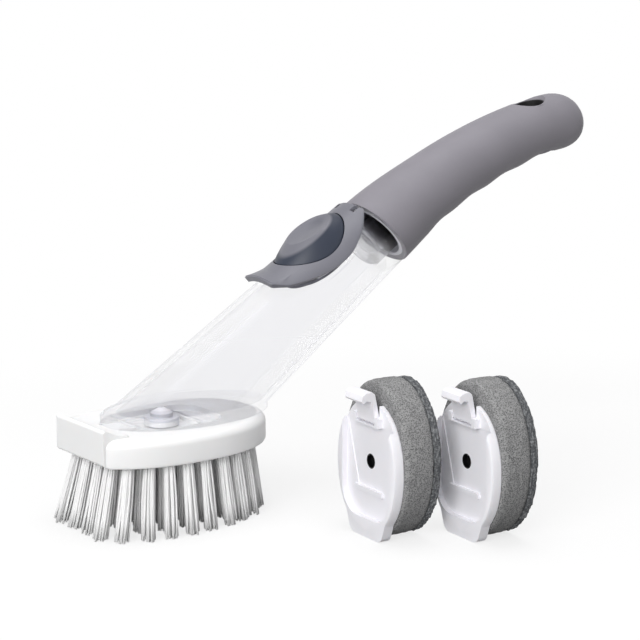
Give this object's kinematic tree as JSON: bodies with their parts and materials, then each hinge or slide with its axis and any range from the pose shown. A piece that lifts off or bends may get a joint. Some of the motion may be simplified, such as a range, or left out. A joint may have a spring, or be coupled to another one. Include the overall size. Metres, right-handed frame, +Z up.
{
  "type": "dish wand",
  "caption": "Soap-dispensing dish wand: clear tilted tank, hinged filler lid with a pump button, curved soft grip, clip-on bristle head, and spare sponge heads standing beside it.",
  "frame": {"origin": "middle of the footprint of the whole set, on the floor it stands on", "axes": "+X from the brush head's toe towards the tip of the handle, +Z up, +Y to the side away from the spare heads"},
  "size_m": [0.2356, 0.1356, 0.143],
  "materials": {
    "clear_plastic": "clear, slightly lavender",
    "soft_grip": "matte soft-touch",
    "grey_plastic": "satin",
    "button_plastic": "satin",
    "core_plastic": "plain",
    "white_plastic": "semi-gloss",
    "spare_plastic": "semi-gloss",
    "nylon": "milky filaments",
    "silicone": "translucent",
    "seal_rubber": "matte",
    "steel": "plain wire",
    "foam": "fine open-cell foam",
    "scouring_fibre": "coarse bonded fibre"
  },
  "bodies": {
    "wand": {"reservoir": "clear_plastic", "outlet_valve": "silicone", "valve_retainer": "white_plastic", "tank_end_plug": "clear_plastic", "plug_o_ring": "seal_rubber", "handle_core": "core_plastic", "handle_grip": "soft_grip", "hinge_pin": "steel", "spare_plate_a": "spare_plastic", "sponge_a": "foam", "scouring_pad_a": "scouring_fibre", "spare_plate_b": "spare_plastic", "sponge_b": "foam", "scouring_pad_b": "scouring_fibre"},
    "lid": {"filler_lid": "grey_plastic", "lid_gasket": "silicone", "diaphragm_ring": "grey_plastic"},
    "button": {"push_button": "button_plastic", "button_spring": "steel", "pump_diaphragm": "silicone"},
    "brush_head": {"brush_plate": "white_plastic", "outer_tufts": "nylon", "inner_tufts": "nylon", "tuft_anchors": "steel"},
    "brush_release": {"brush_tab": "white_plastic"},
    "spare_release_a": {"spare_tab_a": "spare_plastic"},
    "spare_release_b": {"spare_tab_b": "spare_plastic"}
  },
  "joints": [
    {"name": "lid_hinge", "type": "hinge", "parent": "wand", "child": "lid", "pos_m": [0.00319, 0.03893, 0.10508], "axis": [0, 1, 0], "range_deg": [0, 85]},
    {"name": "button_press", "type": "slide", "parent": "lid", "child": "button", "axis": [0.5592, 0, -0.829], "range_m": [0, 0.003], "stiffness_N_per_m": 700, "deforming": ["button_spring", "pump_diaphragm"]},
    {"name": "brush_head_release", "type": "slide", "parent": "wand", "child": "brush_head", "axis": [0, 0, -1], "range_m": [0, 0.03]},
    {"name": "brush_tab_flex", "type": "hinge", "parent": "brush_head", "child": "brush_release", "pos_m": [-0.09602, 0.03893, 0.0351], "axis": [0, -1, 0], "range_deg": [0, 8], "stiffness_Nm_per_rad": 0.3},
    {"name": "spare_tab_a_flex", "type": "hinge", "parent": "wand", "child": "spare_release_a", "pos_m": [-0.03632, -0.02619, 0.0428], "axis": [0.0802, 0.9968, 0], "range_deg": [0, 8], "stiffness_Nm_per_rad": 0.3},
    {"name": "spare_tab_b_flex", "type": "hinge", "parent": "wand", "child": "spare_release_b", "pos_m": [-0.00912, -0.04589, 0.0428], "axis": [0.0802, 0.9968, 0], "range_deg": [0, 8], "stiffness_Nm_per_rad": 0.3}
  ]
}
